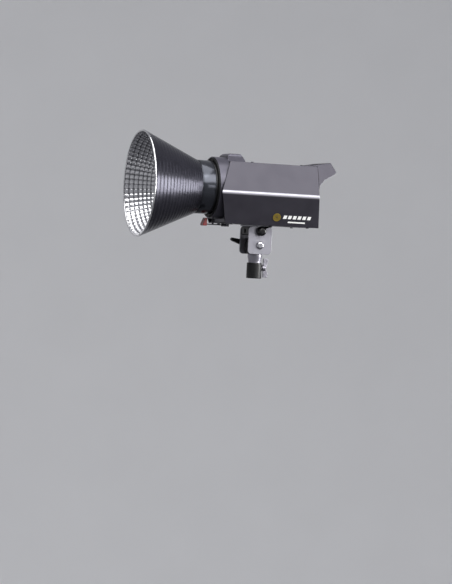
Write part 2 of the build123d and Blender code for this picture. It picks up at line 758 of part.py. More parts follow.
def make_handle():
    start_x = rear_x + 0.4
    foot_x = rear_x - 20
    arm_inside = edge_half - 11
    rise = 9.0 / 48
    tail_top = body_top + rise * (rear_x + 28 - foot_x)
    low = ridge_height + 13
    tip = (rear_x + 39, tail_top - 17)
    heel = (rear_x + 35, tip[1] - 4.5)
    knee = (rear_x + 13, heel[1] - 11.5)
    front_edge = ridge_half - (low - 20 - ridge_height) * flank_slope
    back_edge = ridge_half - (tail_top + 20 - ridge_height) * flank_slope
    with BuildPart() as handle:
        with BuildSketch(Plane.YZ.offset(foot_x)):
            Polygon((front_edge, low - 20), (back_edge, tail_top + 20), (-back_edge, tail_top + 20),
                    (-front_edge, low - 20), align=None)
        extrude(amount=start_x - foot_x)
        with BuildSketch(Plane.YZ.offset(start_x)):
            Polygon((front_edge, low - 20), (back_edge, tail_top + 20), (-back_edge, tail_top + 20),
                    (-front_edge, low - 20), align=None)
        extrude(amount=tip[0] - start_x + 2, taper=6)
        with BuildSketch(Plane.XZ):
            with BuildLine():
                Polyline((foot_x, body_top), (rear_x + 28, tail_top), tip, heel, knee,
                         (rear_x + 2, knee[1] - 11.5), (start_x, low), (start_x, body_top), close=True)
            make_face()
        extrude(amount=2 * ridge_half, both=True, mode=Mode.INTERSECT)
        with BuildSketch(Plane.XY.offset(low - 10)):
            with Locations((rear_x + 8.5, 0)):
                Rectangle(25, 2 * arm_inside)
        extrude(amount=body_top + 40 - low, mode=Mode.SUBTRACT)
        with BuildSketch(Plane.XY.offset(body_top + 1.2)):
            with Locations((rear_x - 9, 0)):
                with GridLocations(1, 2 * case_screw_y / 3, 1, 4):
                    Circle(3.1)
        extrude(amount=10, mode=Mode.SUBTRACT)
        with BuildSketch(Plane.XY.offset(body_top - 1)):
            with Locations((rear_x - 9, 0)):
                with GridLocations(1, 2 * case_screw_y / 3, 1, 4):
                    Circle(1.5 + fitted)
        extrude(amount=10, mode=Mode.SUBTRACT)
    handle.part.label = "carry_handle"
    export_step(handle.part, "parts/carry_handle.step")

    grip_start = (rear_x + 22.5, knee[1] + 11.5 * 9.5 / 22)
    with BuildPart() as pad:
        with BuildSketch(Plane.XZ):
            with BuildLine():
                Polyline(grip_start, heel, (heel[0] + 0.6, heel[1] - 1.5),
                         (grip_start[0] + 0.6, grip_start[1] - 1.5), close=True)
            make_face()
        extrude(amount=arm_inside - 2, both=True)
    pad.part.label = "grip_pad"
    export_step(pad.part, "parts/grip_pad.step")

    with BuildPart() as screws:
        with BuildSketch(Plane.XY.offset(body_top + 1.2)):
            with Locations((rear_x - 9, 0)):
                with GridLocations(1, 2 * case_screw_y / 3, 1, 4):
                    Circle(2.8)
                    RegularPolygon(1.3, 6, mode=Mode.SUBTRACT)
        extrude(amount=1.3)
        with BuildSketch(Plane.XY.offset(body_top + 1.2)):
            with Locations((rear_x - 9, 0)):
                with GridLocations(1, 2 * case_screw_y / 3, 1, 4):
                    Circle(1.5)
        extrude(amount=-7)
    screws.part.label = "handle_screws"
    export_step(screws.part, "parts/handle_screws.step")


def make_rear_panel():
    inlet_y = -control_pitch + 2
    rocker_y = control_pitch - 2
    buttons = [(index * control_pitch, button_z) for index in (-1, 0, 1)]
    dials = [(-control_pitch, dial_z), (control_pitch, dial_z)]
    front = panel_x - panel_thickness
    cheek_x = front - cheek_depth
    with BuildPart() as panel:
        with BuildSketch(Plane.YZ.offset(front)):
            Polygon(*section(-skin - loose), align=None)
            with Locations((0, display_z)):
                Rectangle(display_width + 2 * fitted, display_height + 2 * fitted, mode=Mode.SUBTRACT)
            with Locations(*buttons):
                Rectangle(button_width + 2 * loose, button_height + 2 * loose, mode=Mode.SUBTRACT)
            with Locations(*dials):
                Circle(shaft_radius + running, mode=Mode.SUBTRACT)
            with Locations((inlet_y, inlet_z)):
                Rectangle(inlet_width + 2 * fitted, inlet_height + 2 * fitted, mode=Mode.SUBTRACT)
            with Locations((rocker_y, inlet_z)):
                Rectangle(2 * rocker_half_width + 0.2, 2 * rocker_radius + 1, mode=Mode.SUBTRACT)
        extrude(amount=panel_thickness)
        with BuildSketch(Plane.XZ.offset(-rocker_y - rocker_half_width - 1.6),
                         Plane.XZ.offset(-rocker_y + rocker_half_width)):
            with Locations((cheek_x + cheek_depth / 2, inlet_z)):
                Rectangle(cheek_depth, 10)
                Circle(1.5 + running, mode=Mode.SUBTRACT)
        extrude(amount=1.6)
    panel.part.label = "rear_frame"
    export_step(panel.part, "parts/rear_frame.step")

    with BuildPart() as window:
        with BuildSketch(Plane.YZ.offset(panel_x - 1.6)):
            with Locations((0, display_z)):
                Rectangle(display_width, display_height)
        extrude(amount=2.4)
        chamfer(window.faces().sort_by(Axis.X)[-1].edges(), 0.5)
    window.part.label = "display_window"
    export_step(window.part, "parts/display_window.step")

    with BuildPart() as module:
        with BuildSketch(Plane.YZ.offset(board_x + board_thickness + 4)):
            with Locations((0, display_z)):
                Rectangle(display_width - 4, display_height - 2)
        extrude(amount=panel_x - 2 - board_x - board_thickness - 4)
        with BuildSketch(Plane.YZ.offset(board_x + board_thickness)):
            with Locations((0, display_z)):
                with GridLocations(display_width - 12, display_height - 8, 2, 2):
                    Circle(2)
        extrude(amount=4)
    module.part.label = "display_module"
    export_step(module.part, "parts/display_module.step")

    board_low = dial_z - 9
    board_high = display_z + display_height / 2 + 2
    with BuildPart() as board:
        with BuildSketch(Plane.YZ.offset(board_x)):
            with Locations((0, (board_low + board_high) / 2)):
                Rectangle(2 * edge_half - 12, board_high - board_low)
        extrude(amount=board_thickness)
        with BuildSketch(Plane.YZ.offset(board_x + board_thickness)):
            with Locations(*dials):
                Rectangle(encoder_side, encoder_side)
                Circle(shaft_radius + running, mode=Mode.SUBTRACT)
            with Locations(*buttons):
                Rectangle(6, 6)
        extrude(amount=component_height)
    board.part.label = "control_board"
    export_step(board.part, "parts/control_board.step")

    button_names = ("menu_button", "mode_button", "preset_button")
    for name, (along, height) in zip(button_names, buttons):
        with BuildPart() as button:
            with BuildSketch(Plane.YZ.offset(front - 1)) as cap:
                with Locations((along, height)):
                    Rectangle(button_width, button_height)
                fillet(cap.vertices(), 1.6)
            extrude(amount=panel_thickness + 3.2)
            fillet(button.faces().sort_by(Axis.X)[-1].edges(), 0.8)
            with BuildSketch(Plane.YZ.offset(board_x + board_thickness + component_height + button_travel + 0.2)):
                with Locations((along, height)):
                    Circle(2)
            extrude(amount=front - 1 - board_x - board_thickness - component_height - button_travel - 0.2)
        button.part.label = name
        export_step(button.part, f"parts/{name}.step")

    for name, (along, height) in zip(("intensity_dial", "select_dial"), dials):
        with BuildPart() as dial:
            with BuildSketch(Plane.YZ.offset(panel_x + 0.6)):
                with Locations((along, height)):
                    Circle(dial_radius)
                    with PolarLocations(dial_radius, 24):
                        Circle(0.55, mode=Mode.SUBTRACT)
            extrude(amount=dial_length)
            chamfer(dial.faces().sort_by(Axis.X)[-1].edges(), 0.4)
            with BuildSketch(Plane.YZ.offset(board_x + board_thickness + 0.2)):
                with Locations((along, height)):
                    Circle(shaft_radius)
            extrude(amount=panel_x + 0.6 - board_x - board_thickness - 0.2)
        dial.part.label = name
        export_step(dial.part, f"parts/{name}.step")

    inlet_back = panel_x - 20
    with BuildPart() as inlet:
        with BuildSketch(Plane.YZ.offset(inlet_back)):
            with Locations((inlet_y, inlet_z)):
                Rectangle(inlet_width, inlet_height)
        extrude(amount=21.5)
        with BuildSketch(Plane.YZ.offset(inlet_back + 6)):
            with Locations((inlet_y, inlet_z)):
                Rectangle(inlet_width - 5, inlet_height - 5)
        extrude(amount=20, mode=Mode.SUBTRACT)
        with BuildSketch(Plane.YZ.offset(inlet_back + 6)):
            with Locations((inlet_y, inlet_z)):
                with Locations((-6, -1), (0, 2.5), (6, -1)):
                    Rectangle(2, 4)
        extrude(amount=11)
    inlet.part.label = "power_inlet"
    export_step(inlet.part, "parts/power_inlet.step")

    pivot_x = cheek_x + cheek_depth / 2
    with BuildPart() as rocker:
        with BuildSketch(Plane.XZ.offset(-rocker_y)):
            with Locations((pivot_x, inlet_z)):
                Circle(rocker_radius)
                with Locations((rocker_radius + 3, 0)):
                    Circle(5, mode=Mode.SUBTRACT)
        extrude(amount=6.8, both=True)
        with BuildSketch(Plane.XZ.offset(-rocker_y)):
            with Locations((pivot_x, inlet_z)):
                Circle(1.5)
        extrude(amount=8.8, both=True)
    rocker.part.label = "power_switch"
    export_step(rocker.part, "parts/power_switch.step")


def make_driver():
    deck = body_bottom + 16
    start_x = fan_x + fan_depth + 8
    length = board_x - 6 - start_x
    width = 2 * edge_half - 24
    parts_top = deck + board_thickness
    with BuildPart() as board:
        with BuildSketch(Plane.XY.offset(deck)):
            with Locations((start_x + length / 2, 0)):
                Rectangle(length, width)
        extrude(amount=board_thickness)
        with BuildSketch(Plane.XY.offset(body_bottom + skin)):
            with Locations((start_x + length / 2, 0)):
                with GridLocations(length - 8, width - 8, 2, 2):
                    Circle(2.5)
        extrude(amount=deck - body_bottom - skin)
    board.part.label = "driver_board"
    export_step(board.part, "parts/driver_board.step")

    with BuildPart() as blocks:
        with BuildSketch(Plane.XY.offset(parts_top)):
            with Locations((start_x + length / 2, -width / 4)):
                Rectangle(26, 24)
        extrude(amount=20)
        with BuildSketch(Plane.XY.offset(parts_top)):
            with Locations((start_x + 10, width / 4), (start_x + 26, width / 4)):
                Circle(6)
        extrude(amount=22)
    blocks.part.label = "driver_parts"
    export_step(blocks.part, "parts/driver_parts.step")


def make_release():
    plate_front = face_x - 5
    plate_under = lever_hinge_z - 1
    barrel = 2.5
    half_width = 7.3
    with BuildPart() as pin:
        with BuildSketch(Plane.XZ):
            with Locations((lever_hinge_x, lever_hinge_z)):
                Circle(1.5)
        extrude(amount=12, both=True)
    pin.part.label = "lever_hinge_pin"
    export_step(pin.part, "parts/lever_hinge_pin.step")

    with BuildPart() as lever:
        with BuildSketch(Plane.XZ):
            with Locations((lever_hinge_x, lever_hinge_z)):
                Circle(barrel)
        extrude(amount=half_width, both=True)
        with BuildSketch(Plane.XY.offset(plate_under)):
            with Locations(((plate_front + lever_hinge_x) / 2, 0)):
                Rectangle(lever_hinge_x - plate_front, 2 * half_width)
        extrude(amount=2)
        with BuildSketch(Plane.XZ):
            with Locations((lever_hinge_x, lever_hinge_z)):
                Circle(1.5 + running)
        extrude(amount=half_width + 1, both=True, mode=Mode.SUBTRACT)
        with BuildSketch(Plane.XY.offset(plate_under - 4)):
            with Locations((lever_hinge_x, 0)):
                Rectangle(9, 7)
        extrude(amount=9, mode=Mode.SUBTRACT)
        with BuildSketch(Plane.XY.offset(plate_under - 1)):
            with Locations((pin_x, 0)):
                Circle(2)
        extrude(amount=4, mode=Mode.SUBTRACT)
    lever.part.label = "release_lever"
    export_step(lever.part, "parts/release_lever.step")

    with BuildPart() as stud:
        with BuildSketch(Plane.XY.offset(plate_under)):
            with Locations((pin_x, 0)):
                Circle(2)
        extrude(amount=axis_height - channel_radius - 0.3 - plate_under)
    stud.part.label = "lock_pin"
    export_step(stud.part, "parts/lock_pin.step")

    with BuildPart() as pad:
        with BuildSketch(Plane.XZ):
            with BuildLine():
                Polyline((plate_front, plate_under - 2), (plate_front, plate_under + 12),
                         (plate_front - 3, plate_under + 13), (plate_front - 8, plate_under + 1),
                         (plate_front - 7, plate_under - 2), close=True)
            make_face()
        extrude(amount=8, both=True)
        fillet(pad.edges().filter_by(Axis.Y), 0.9)
    pad.part.label = "release_pad"
    export_step(pad.part, "parts/release_pad.step")

    wire = 0.4
    coil_radius = 2.3
    with BuildPart() as spring:
        for index in range(4):
            with BuildSketch(Plane.XZ.offset(-2.4 + index * 1.6)):
                with Locations((lever_hinge_x, lever_hinge_z)):
                    Circle(coil_radius + wire)
                    Circle(coil_radius - wire, mode=Mode.SUBTRACT)
            extrude(amount=2 * wire)
        with BuildSketch(Plane.XZ.offset(-2.4)):
            with Locations((lever_hinge_x + 5, lever_hinge_z + coil_radius)):
                Rectangle(10, 2 * wire)
        extrude(amount=6 * wire + 3.2)
    spring.part.label = "release_spring"
    export_step(spring.part, "parts/release_spring.step")


def make_reflector():
    """Spun cone with a rolled bead round its rim, a plain neck, and a collar with the bayonet's lugs."""
    neck_end = face_x - 4
    collar_end = mount_back_x - ring_base - 2.0
    slope = (rim_radius - neck_radius) / (shoulder_x - rim_x)
    throat = neck_radius - sheet
    bead_x = rim_x + bead_radius
    with BuildPart() as cone:
        with BuildSketch(Plane.XY.offset(axis_height)):
            with BuildLine():
                Polyline((bead_x, rim_radius), (shoulder_x, neck_radius), (shoulder_x, throat),
                         (shoulder_x - slope, throat), (bead_x, rim_radius - sheet * 1.1), close=True)
            make_face()
            with Locations((bead_x, rim_radius - bead_radius)):
                Circle(bead_radius)
        revolve(axis=optical_axis)
    cone.part.label = "reflector_shell"
    export_step(cone.part, "parts/reflector_shell.step")

    with BuildPart() as neck:
        with BuildSketch(Plane.YZ.offset(shoulder_x)):
            with Locations((0, axis_height)):
                Circle(neck_radius)
                Circle(throat, mode=Mode.SUBTRACT)
        extrude(amount=neck_end - shoulder_x)
    neck.part.label = "reflector_neck"
    export_step(neck.part, "parts/reflector_neck.step")

    lug_x = face_x + lip_thickness + 0.6
    collar_wall = 4.0
    lugs = [sector(neck_radius - 1, neck_radius + lug_height, lug_angle(index), lug_sweep)
            for index in range(lug_count)]
    rivet_spots = [lug_angle(index) + 60 for index in range(lug_count)]
    with BuildPart() as collar:
        with BuildSketch(Plane.YZ.offset(neck_end)):
            with Locations((0, axis_height)):
                Circle(neck_radius)
                Circle(throat - collar_wall, mode=Mode.SUBTRACT)
        extrude(amount=collar_end - neck_end)
        with BuildSketch(Plane.YZ.offset(neck_end - 8)):
            with Locations((0, axis_height)):
                Circle(throat - fitted)
                Circle(throat - collar_wall, mode=Mode.SUBTRACT)
        extrude(amount=8)
        with BuildSketch(Plane.YZ.offset(lug_x)):
            with Locations((0, axis_height)):
                for lug in lugs:
                    add(lug)
        extrude(amount=lug_length)
        for angle in rivet_spots:
            with BuildSketch(rivet_plane(angle, neck_end - 4, throat - collar_wall - 1)):
                Circle(1.6 + fitted)
            extrude(amount=collar_wall + 2, mode=Mode.SUBTRACT)
    collar.part.label = "reflector_collar"
    export_step(collar.part, "parts/reflector_collar.step")

    with BuildPart() as rivets:
        for angle in rivet_spots:
            with BuildSketch(rivet_plane(angle, neck_end - 4, throat - collar_wall - 0.5)):
                Circle(1.6)
            extrude(amount=collar_wall)
            with BuildSketch(rivet_plane(angle, neck_end - 4, throat - collar_wall - 1.3)):
                Circle(2.6)
            extrude(amount=1.2)
    rivets.part.label = "collar_rivets"
    export_step(rivets.part, "parts/collar_rivets.step")


def rivet_plane(angle, along, radius):
    """Plane that faces outwards from the optical axis at an angle from +Y towards +Z."""
    outwards = Vector(0, cos(radians(angle)), sin(radians(angle)))
    return Plane(origin=Vector(along, 0, axis_height) + outwards * radius, x_dir=(1, 0, 0), z_dir=outwards)


make_receiver()
make_spigot_screw()
make_bracket()
make_umbrella_knob()
make_tilt_lever()
make_bezel()
make_bayonet_ring()
make_light_source()
make_cooling()
make_side_cover(-1, "left_side_cover")
make_side_cover(1, "right_side_cover")
make_lids()
make_marks()
make_handle()
make_rear_panel()
make_driver()
make_release()
make_reflector()
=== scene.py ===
import json
from math import cos, pi, radians, sin
import bmesh
import bpy
from mathutils import Matrix, Vector

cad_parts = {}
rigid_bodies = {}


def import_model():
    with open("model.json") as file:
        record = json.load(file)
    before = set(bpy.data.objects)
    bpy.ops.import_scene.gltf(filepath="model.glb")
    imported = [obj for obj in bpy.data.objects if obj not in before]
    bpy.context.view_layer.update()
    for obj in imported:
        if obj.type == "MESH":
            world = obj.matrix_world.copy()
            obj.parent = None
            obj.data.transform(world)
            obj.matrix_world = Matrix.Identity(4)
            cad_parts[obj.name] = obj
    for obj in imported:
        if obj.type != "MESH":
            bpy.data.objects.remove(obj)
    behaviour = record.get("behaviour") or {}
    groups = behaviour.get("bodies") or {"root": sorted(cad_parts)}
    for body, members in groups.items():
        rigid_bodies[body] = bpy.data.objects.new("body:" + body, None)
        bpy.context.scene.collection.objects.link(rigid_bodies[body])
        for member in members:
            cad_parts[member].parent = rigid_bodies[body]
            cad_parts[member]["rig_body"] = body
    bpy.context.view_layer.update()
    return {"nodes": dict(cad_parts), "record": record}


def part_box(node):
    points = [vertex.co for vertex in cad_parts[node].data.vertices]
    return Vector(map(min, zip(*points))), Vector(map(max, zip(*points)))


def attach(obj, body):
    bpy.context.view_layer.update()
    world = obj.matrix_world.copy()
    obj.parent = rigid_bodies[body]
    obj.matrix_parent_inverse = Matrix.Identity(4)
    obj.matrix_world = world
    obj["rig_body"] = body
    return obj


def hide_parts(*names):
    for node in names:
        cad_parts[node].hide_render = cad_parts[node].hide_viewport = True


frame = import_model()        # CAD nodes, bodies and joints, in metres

nodes = frame["nodes"]
scene = bpy.context.scene
mm = 0.001

# Helpers for colours, nodes and meshes


def linear(hexColour):
    channels = [int(hexColour[i:i + 2], 16) / 255 for i in (1, 3, 5)]
    return [c / 12.92 if c <= 0.04045 else ((c + 0.055) / 1.055) ** 2.4 for c in channels] + [1.0]


def addNode(tree, kind, values=None, feeds=None, **settings):
    node = tree.nodes.new(kind)
    for name, value in settings.items():
        setattr(node, name, value)
    for name, value in (values or {}).items():
        node.inputs[name].default_value = value
    for name, source in (feeds or {}).items():
        tree.links.new(source, node.inputs[name])
    return node


def newPiece(name, mesh, body, material=None):
    piece = bpy.data.objects.new(name, mesh)
    scene.collection.objects.link(piece)
    if material:
        mesh.materials.clear()
        mesh.materials.append(material)
    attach(piece, body)
    return piece


def smoothShade(mesh, sharpAngle=32):
    mesh.shade_smooth()
    mesh.set_sharp_from_angle(angle=radians(sharpAngle))


def faceOutwards(mesh):
    work = bmesh.new()
    work.from_mesh(mesh)
    bmesh.ops.remove_doubles(work, verts=work.verts, dist=0.001 * mm)
    bmesh.ops.recalc_face_normals(work, faces=work.faces)
    work.to_mesh(mesh)
    work.free()


def lathe(name, profile, steps, height, sharpAngle=28):
    # profile is a closed loop of (along the optical axis, radius)
    verts = []
    for along, radius in profile:
        for step in range(steps):
            turn = 2 * pi * step / steps
            verts.append((along, radius * cos(turn), height + radius * sin(turn)))
    count = len(profile)
    faces = [(ring * steps + step, ring * steps + (step + 1) % steps,
              (ring + 1) % count * steps + (step + 1) % steps, (ring + 1) % count * steps + step)
             for ring in range(count) for step in range(steps)]
    mesh = bpy.data.meshes.new(name)
    mesh.from_pydata(verts, [], faces)
    faceOutwards(mesh)
    smoothShade(mesh, sharpAngle)
    return mesh


def openTree(name, sizes):
    tree = bpy.data.node_groups.new(name, "GeometryNodeTree")
    tree.is_modifier = True
    tree.interface.new_socket("Geometry", in_out="OUTPUT", socket_type="NodeSocketGeometry")
    for label, value in sizes.items():
        kind = "NodeSocketInt" if isinstance(value, int) else "NodeSocketFloat"
        tree.interface.new_socket(label, in_out="INPUT", socket_type=kind)
    given = tree.nodes.new("NodeGroupInput").outputs
    result = tree.nodes.new("NodeGroupOutput").inputs["Geometry"]
    return tree, given, result


def growMesh(name, tree, sizes, place=None):
    holder = bpy.data.objects.new(name, bpy.data.meshes.new(name))
    scene.collection.objects.link(holder)
    modifier = holder.modifiers.new(name, "NODES")
    modifier.node_group = tree
    for item in tree.interface.items_tree:
        if item.in_out == "INPUT":
            modifier[item.identifier] = sizes[item.name]
    return settledMesh(holder, place)


def settledMesh(holder, place=None):
    # The evaluated shape as a plain mesh, its holder removed
    depsgraph = bpy.context.evaluated_depsgraph_get()
    mesh = bpy.data.meshes.new_from_object(holder.evaluated_get(depsgraph), depsgraph=depsgraph)
    mesh.name = holder.name
    bpy.data.objects.remove(holder)
    if place:
        mesh.transform(place)
    return mesh


def facing(origin, across, upwards):
    # Turns a flat pattern's X and Y to two directions of the lamp, at a point
    side = Vector(across).normalized()
    up = Vector(upwards).normalized()
    turn = Matrix((side, up, side.cross(up))).transposed().to_4x4()
    return Matrix.Translation(origin) @ turn


# Materials: paints, metals, plastics and glass; lengths in a look are millimetres

# Edge wear goes by how far the rounded normal turns from the face's own, as the cosine between the two
wearStarts, wearFull, wearRadius = 0.985, 0.86, 0.9


def newMaterial(name, colour, metallic, roughness):
    material = bpy.data.materials.new(name)
    material.use_nodes = True
    tree = material.node_tree
    shader = tree.nodes["Principled BSDF"]
    shader.inputs["Base Color"].default_value = linear(colour)
    shader.inputs["Metallic"].default_value = metallic
    shader.inputs["Roughness"].default_value = roughness
    place = addNode(tree, "ShaderNodeTexCoord").outputs["Object"]
    return material, tree, shader, place


def grainySurface(name, look):
    # Paint, moulded plastic, rubber and castings: blotches, a fine grain and rubbed edges
    material, tree, shader, place = newMaterial(name, look["colour"], look["metallic"], look["roughness"])
    blotch = addNode(tree, "ShaderNodeTexNoise", {"Scale": 1 / (look["blotch"] * mm), "Detail": 4.0},
                     {"Vector": place}).outputs["Fac"]
    colour = addNode(tree, "ShaderNodeMix", {6: linear(look["colour"]), 7: linear(look["blotchColour"])},
                     {0: blotch}, data_type="RGBA").outputs[2]
    stretched = addNode(tree, "ShaderNodeMapping", {"Scale": look.get("stretch", (1, 1, 1))},
                        {"Vector": place}).outputs["Vector"]
    grain = addNode(tree, "ShaderNodeTexNoise", {"Scale": 1 / (look["grain"] * mm), "Detail": 2.0},
                    {"Vector": stretched}).outputs["Fac"]
    shader.inputs["Specular IOR Level"].default_value = look.get("specular", 0.5)
    swing = look.get("swing", 0.06)
    rough = addNode(tree, "ShaderNodeMapRange", {"From Min": 0.3, "From Max": 0.7,
                    "To Min": look["roughness"] - swing, "To Max": look["roughness"] + swing},
                    {"Value": grain if "stretch" in look else blotch}).outputs["Result"]
    flat = addNode(tree, "ShaderNodeNewGeometry").outputs["Normal"]
    rounded = addNode(tree, "ShaderNodeBevel", {"Radius": wearRadius * mm}, samples=6)
    agree = addNode(tree, "ShaderNodeVectorMath", None, {0: rounded.outputs["Normal"], 1: flat},
                    operation="DOT_PRODUCT").outputs["Value"]
    worn = addNode(tree, "ShaderNodeMapRange", {"From Min": wearStarts, "From Max": wearFull,
                   "To Max": look["wear"]}, {"Value": agree}).outputs["Result"]
    patchy = addNode(tree, "ShaderNodeMath", None, {0: worn, 1: blotch}, operation="MULTIPLY").outputs[0]
    edged = addNode(tree, "ShaderNodeMix", {7: linear(look["wearColour"])}, {0: patchy, 6: colour},
                    data_type="RGBA").outputs[2]
    bump = addNode(tree, "ShaderNodeBump", {"Distance": look["depth"] * mm, "Strength": 1.0},
                   {"Height": grain})
    tree.links.new(edged, shader.inputs["Base Color"])
    tree.links.new(rough, shader.inputs["Roughness"])
    tree.links.new(bump.outputs["Normal"], shader.inputs["Normal"])
    return material, tree, shader, place, edged


def spunSurface(name, look):
    # Sheet spun on a lathe: fine rings round the optical axis that stretch every highlight
    material, tree, shader, place = newMaterial(name, look["colour"], look["metallic"], look["roughness"])
    along = addNode(tree, "ShaderNodeSeparateXYZ", None, {"Vector": place}).outputs["X"]
    rings = addNode(tree, "ShaderNodeTexNoise", {"Scale": 1 / (look["rings"] * mm), "Detail": 2.0},
                    {"W": along}, noise_dimensions="1D").outputs["Fac"]
    haze = addNode(tree, "ShaderNodeTexNoise", {"Scale": 1 / (look["haze"] * mm), "Detail": 3.0},
                   {"Vector": place}).outputs["Fac"]
    both = addNode(tree, "ShaderNodeMath", None, {0: rings, 1: haze}, operation="MULTIPLY").outputs[0]
    rough = addNode(tree, "ShaderNodeMapRange", {"From Min": 0.1, "From Max": 0.45,
                    "To Min": look["roughness"] * 0.8, "To Max": look["roughness"] * 1.25},
                    {"Value": both}).outputs["Result"]
    colour = addNode(tree, "ShaderNodeMix", {6: linear(look["colour"]), 7: linear(look["ringColour"])},
                     {0: haze}, data_type="RGBA").outputs[2]
    bump = addNode(tree, "ShaderNodeBump", {"Distance": look["depth"] * mm, "Strength": 1.0},
                   {"Height": rings})
    tree.links.new(colour, shader.inputs["Base Color"])
    tree.links.new(rough, shader.inputs["Roughness"])
    tree.links.new(bump.outputs["Normal"], shader.inputs["Normal"])
    return material


coverLow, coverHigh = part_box("left_side_cover")
ridgeHeight = (coverLow.z + coverHigh.z) / 2

# Powder paint on folded aluminium sheet: satin, faint orange peel of about 1 mm, with a painted highlight: a
# pale band painted along the ridge
casingLook = {"colour": "#343239", "blotchColour": "#3B3941", "metallic": 0.55, "roughness": 0.38,
              "specular": 0.45, "blotch": 30, "grain": 1.1, "depth": 0.035, "wear": 0.9,
              "wearColour": "#A5A3AB", "ridgeHighlightColour": "#C4C2CB", "ridgeHalf": 2.6,
              "ridgeFade": 1.4, "ridgePaintedHighlight": 0.85}


def casingPaint():
    material, tree, shader, place, painted = grainySurface("satinPowderPaint", casingLook)
    # A pale band at the ridge's height is a painted highlight, standing in for the light the ridge catches
    height = addNode(tree, "ShaderNodeSeparateXYZ", None, {"Vector": place}).outputs["Z"]
    apart = addNode(tree, "ShaderNodeMath", {1: ridgeHeight}, {0: height}, operation="SUBTRACT").outputs[0]
    distance = addNode(tree, "ShaderNodeMath", None, {0: apart}, operation="ABSOLUTE").outputs[0]
    half, fade = casingLook["ridgeHalf"] * mm, casingLook["ridgeFade"] * mm
    ridgeHighlightMask = addNode(tree, "ShaderNodeMapRange", {"From Min": half + fade, "From Max": half - fade,
                    "To Max": casingLook["ridgePaintedHighlight"]}, {"Value": distance}).outputs["Result"]
    bright = addNode(tree, "ShaderNodeMix", {7: linear(casingLook["ridgeHighlightColour"])}, {0: ridgeHighlightMask, 6: painted},
                     data_type="RGBA").outputs[2]
    tree.links.new(bright, shader.inputs["Base Color"])
    return material


def circuitBoard():
    # Glass-fibre board under green solder mask: square copper runs and tinned pads
    material, tree, shader, place = newMaterial("solderMaskBoard", "#0E3A22", 0.0, 0.35)
    traceWidth, padPitch = 1.6, 2.54
    runs = addNode(tree, "ShaderNodeTexVoronoi", {"Scale": 1 / (traceWidth * mm)}, {"Vector": place},
                   distance="CHEBYCHEV", feature="F1").outputs["Distance"]
    run = addNode(tree, "ShaderNodeMapRange", {"From Min": 0.42, "From Max": 0.46}, {"Value": runs})
    pads = addNode(tree, "ShaderNodeTexVoronoi", {"Scale": 1 / (padPitch * mm), "Randomness": 0.25},
                   {"Vector": place}).outputs["Distance"]
    pad = addNode(tree, "ShaderNodeMapRange", {"From Min": 0.2, "From Max": 0.16}, {"Value": pads})
    masked = addNode(tree, "ShaderNodeMix", {6: linear("#0E3A22"), 7: linear("#1D6038")},
                     {0: run.outputs["Result"]}, data_type="RGBA").outputs[2]
    tinned = addNode(tree, "ShaderNodeMix", {7: linear("#B9B7AE")}, {0: pad.outputs["Result"], 6: masked},
                     data_type="RGBA").outputs[2]
    raised = addNode(tree, "ShaderNodeBump", {"Distance": 0.05 * mm}, {"Height": run.outputs["Result"]})
    tree.links.new(tinned, shader.inputs["Base Color"])
    tree.links.new(raised.outputs["Normal"], shader.inputs["Normal"])
    return material


def clearGlass():
    # Polished borosilicate disc: clear, with a thin film of dust
    material, tree, shader, place = newMaterial("borosilicateGlass", "#F4FAFA", 0.0, 0.03)
    shader.inputs["IOR"].default_value = 1.47
    shader.inputs["Transmission Weight"].default_value = 1.0
    dust = addNode(tree, "ShaderNodeTexNoise", {"Scale": 1 / (4 * mm), "Detail": 5.0}, {"Vector": place})
    film = addNode(tree, "ShaderNodeMapRange", {"From Min": 0.45, "From Max": 0.75, "To Min": 0.02,
                   "To Max": 0.12}, {"Value": dust.outputs["Fac"]})
    tree.links.new(film.outputs["Result"], shader.inputs["Roughness"])
    return material


def phosphorGel():
    # Silicone gel filled with phosphor: soft yellow, the grid of dies showing through at 1.6 mm
    material, tree, shader, place = newMaterial("phosphorGel", "#E9C63C", 0.0, 0.4)
    shader.inputs["Subsurface Weight"].default_value = 0.3
    shader.inputs["Subsurface Scale"].default_value = 0.6 * mm
    dies = addNode(tree, "ShaderNodeTexVoronoi", {"Scale": 1 / (1.6 * mm), "Randomness": 0.0},
                   {"Vector": place}, distance="CHEBYCHEV").outputs["Distance"]
    glow = addNode(tree, "ShaderNodeMapRange", {"From Min": 0.3, "From Max": 0.5}, {"Value": dies})
    colour = addNode(tree, "ShaderNodeMix", {6: linear("#F0D35A"), 7: linear("#D9A92A")},
                     {0: glow.outputs["Result"]}, data_type="RGBA").outputs[2]
    domes = addNode(tree, "ShaderNodeBump", {"Distance": 0.08 * mm}, {"Height": glow.outputs["Result"]})
    tree.links.new(colour, shader.inputs["Base Color"])
    tree.links.new(domes.outputs["Normal"], shader.inputs["Normal"])
    return material


